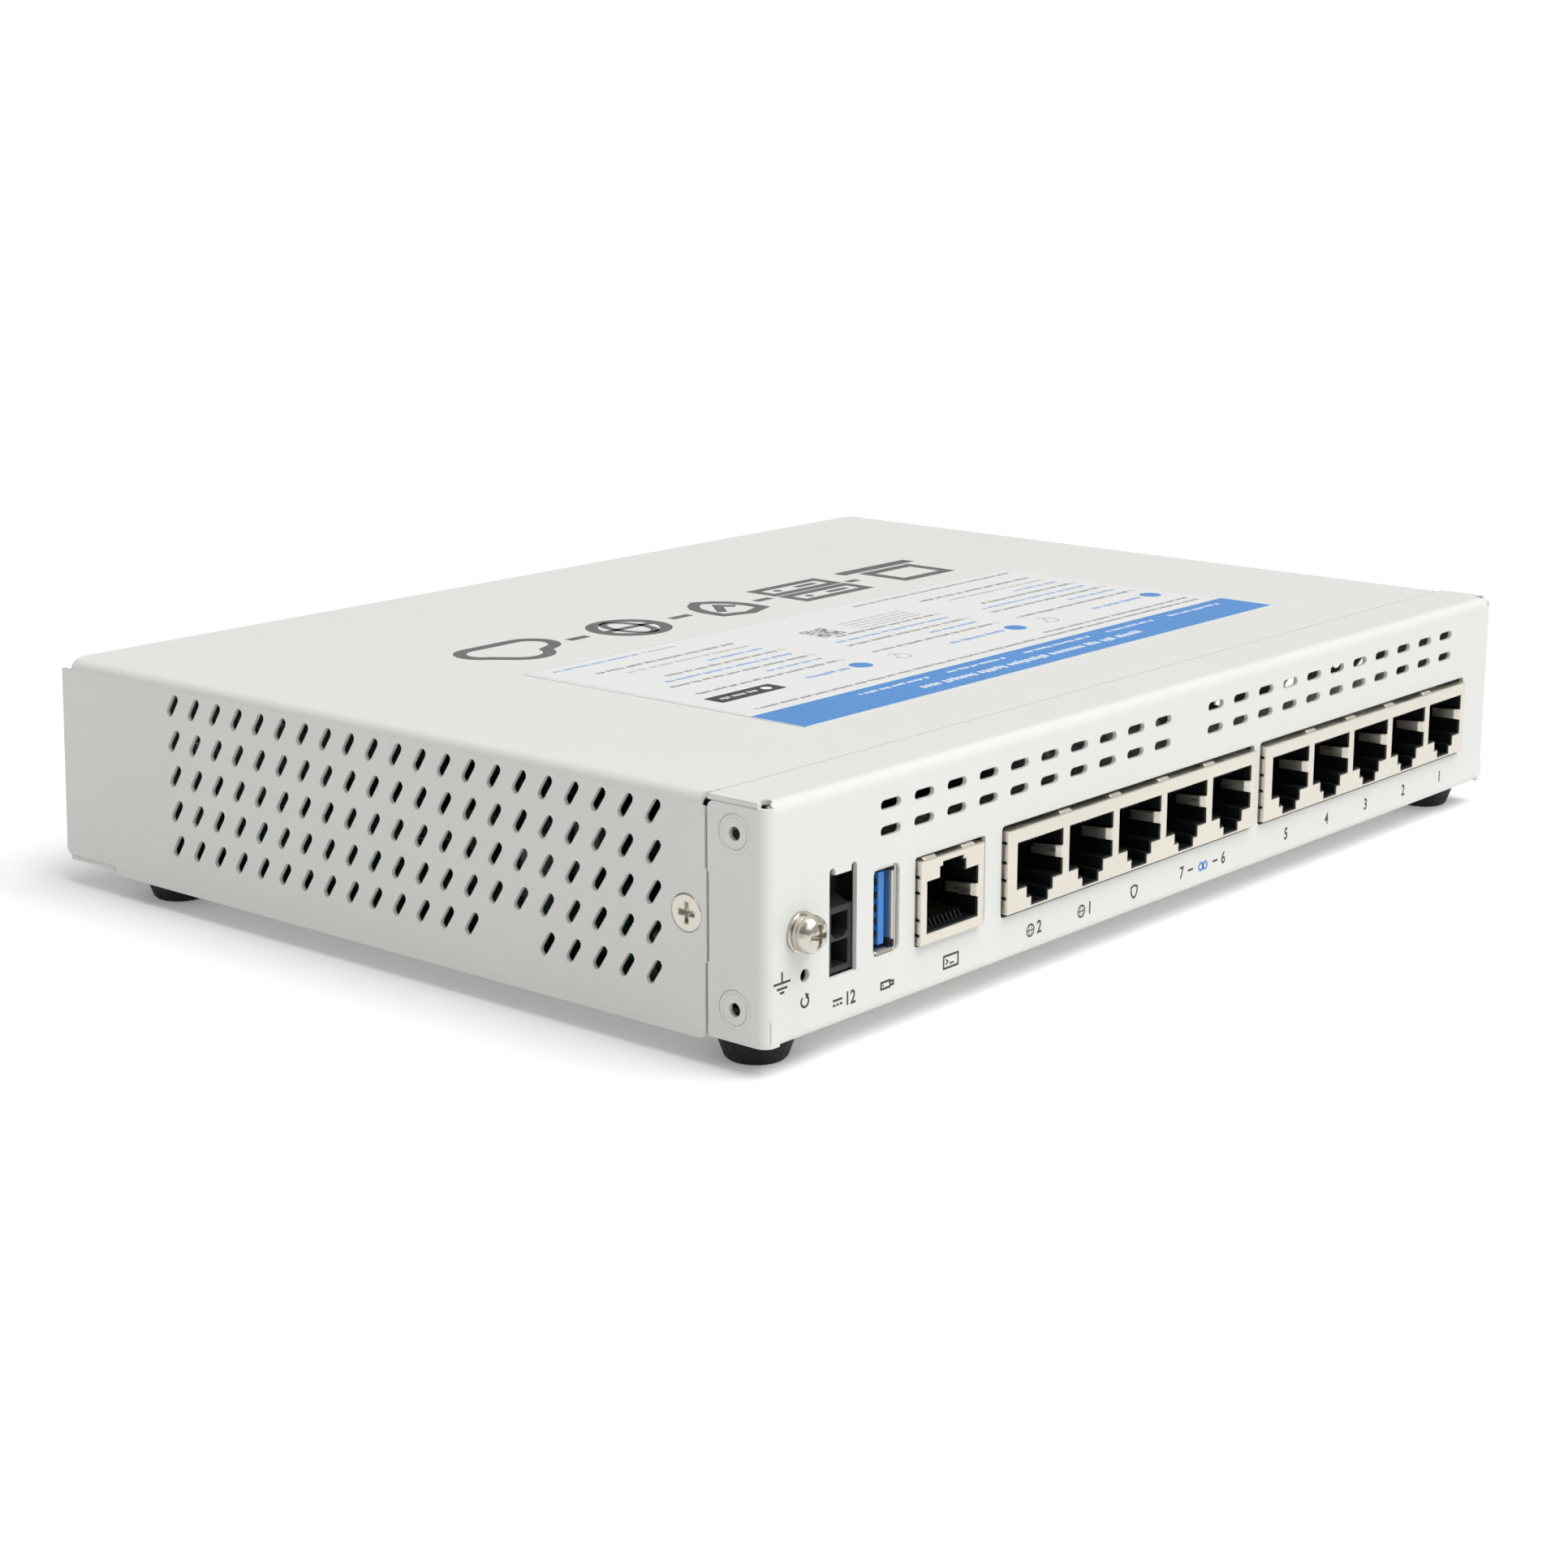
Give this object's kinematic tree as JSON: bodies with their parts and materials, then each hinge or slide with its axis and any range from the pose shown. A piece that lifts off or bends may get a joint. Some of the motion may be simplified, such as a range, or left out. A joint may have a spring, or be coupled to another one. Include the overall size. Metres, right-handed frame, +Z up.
{
  "type": "firewall appliance",
  "caption": "Desktop fanless network firewall: white folded-steel case with vented sides, shielded network ports, console and storage ports, DC inlet, ground screw, reset pinhole, rubber feet.",
  "frame": {"origin": "on the ground under the centre of the whole appliance, ground screw head included", "axes": "+X to the right when looking at the connector panel, +Y from the connector panel towards the status-light face, +Z up"},
  "size_m": [0.214, 0.1637, 0.0404],
  "materials": {
    "white_powder_coat": "satin",
    "nickel_plate": "satin",
    "zinc_steel": "satin",
    "rubber": "matte",
    "black_plastic": "matte",
    "grey_plastic": "matte",
    "blue_plastic": "satin",
    "solder_mask": "gloss",
    "chip_plastic": "matte",
    "thermal_silicone": "matte",
    "aluminium": "satin",
    "brass": "satin",
    "clear_plastic": "gloss",
    "white_plastic": "matte",
    "label_stock": "satin"
  },
  "bodies": {
    "case": {"base_chassis": "white_powder_coat", "base_label": "label_stock", "board_screw_1": "zinc_steel", "board_screw_2": "zinc_steel", "board_screw_3": "zinc_steel", "board_screw_4": "zinc_steel", "capacitor_1": "aluminium", "capacitor_2": "aluminium", "coin_cell": "zinc_steel", "coin_cell_holder": "black_plastic", "console_insert": "black_plastic", "console_shield": "nickel_plate", "cover_nut_left": "zinc_steel", "cover_nut_right": "zinc_steel", "cover_screw_left": "zinc_steel", "cover_screw_right": "zinc_steel", "dc_inlet_housing": "grey_plastic", "dc_pin_1": "brass", "dc_pin_2": "brass", "ear_nut_left_1": "zinc_steel", "ear_nut_left_2": "zinc_steel", "ear_nut_right_1": "zinc_steel", "ear_nut_right_2": "zinc_steel", "flash_chip": "chip_plastic", "foot_1": "rubber", "foot_2": "rubber", "foot_3": "rubber", "foot_4": "rubber", "ground_lock_washer": "zinc_steel", "ground_nut": "zinc_steel", "ground_screw": "nickel_plate", "ground_washer": "nickel_plate", "heat_sink": "aluminium", "lan_ports_insert": "black_plastic", "lan_ports_shield": "nickel_plate", "light_guide": "clear_plastic", "light_strip": "white_plastic", "main_board": "solder_mask", "memory_1": "chip_plastic", "memory_2": "chip_plastic", "port_chip": "chip_plastic", "power_inductor": "grey_plastic", "processor": "chip_plastic", "reset_switch": "chip_plastic", "sink_screw_1": "zinc_steel", "sink_screw_2": "zinc_steel", "standoff_1": "zinc_steel", "standoff_2": "zinc_steel", "standoff_3": "zinc_steel", "standoff_4": "zinc_steel", "switch_chip": "chip_plastic", "thermal_pad": "thermal_silicone", "top_cover": "white_powder_coat", "top_label": "label_stock", "usb_shell": "nickel_plate", "usb_tongue": "blue_plastic", "wan_ports_insert": "black_plastic", "wan_ports_shield": "nickel_plate"},
    "button": {"reset_button": "black_plastic"}
  },
  "joints": [
    {"name": "reset_press", "type": "slide", "parent": "case", "child": "button", "axis": [0, 1, 0], "range_m": [0, 0.00035], "stiffness_N_per_m": 2000}
  ]
}
